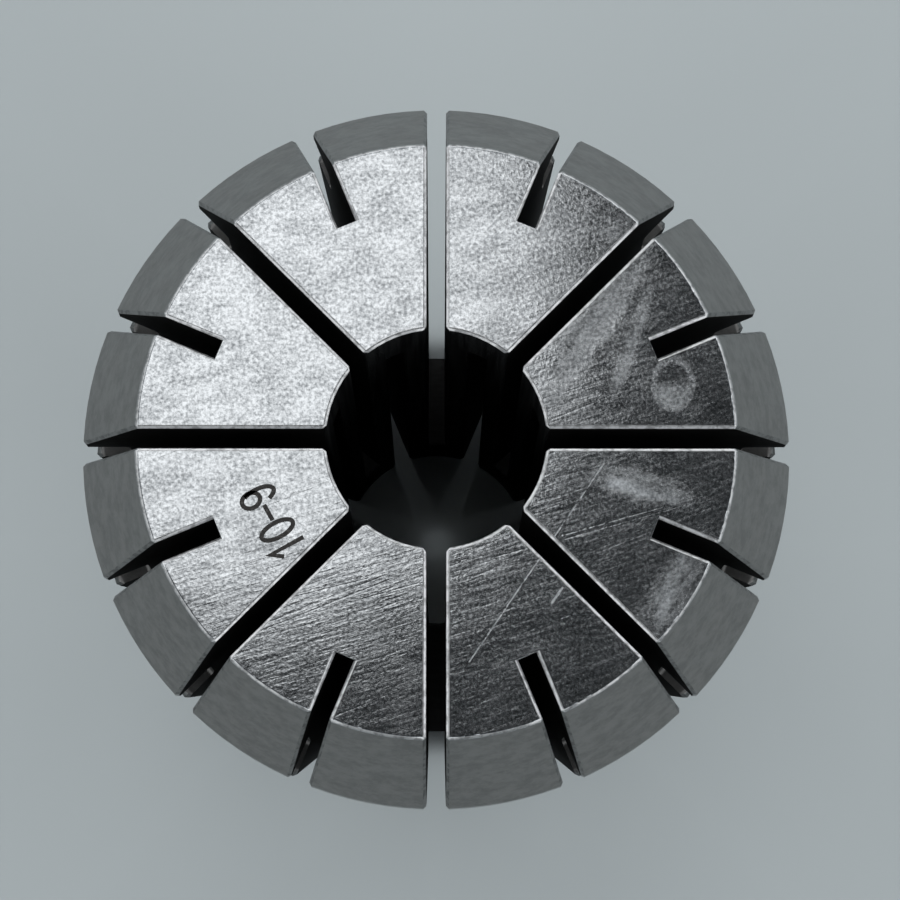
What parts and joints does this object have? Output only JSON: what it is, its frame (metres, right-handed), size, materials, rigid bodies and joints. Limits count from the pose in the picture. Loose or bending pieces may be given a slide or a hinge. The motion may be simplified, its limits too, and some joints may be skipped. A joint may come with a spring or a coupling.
{
  "type": "er collet",
  "caption": "One-piece slotted steel spring collet with a long taper, a grooved flange, a steep front cone and a round clamping bore.",
  "frame": {"origin": "centre of the small rear face, on the bore's axis", "axes": "+Z along the bore from the small rear face to the large front face, +X and +Y each through the middle of a slot that is sawn from the front"},
  "size_m": [0.033, 0.033, 0.04],
  "materials": {
    "steel": "ground"
  },
  "bodies": {
    "root": {"collet": "steel"}
  },
  "joints": []
}
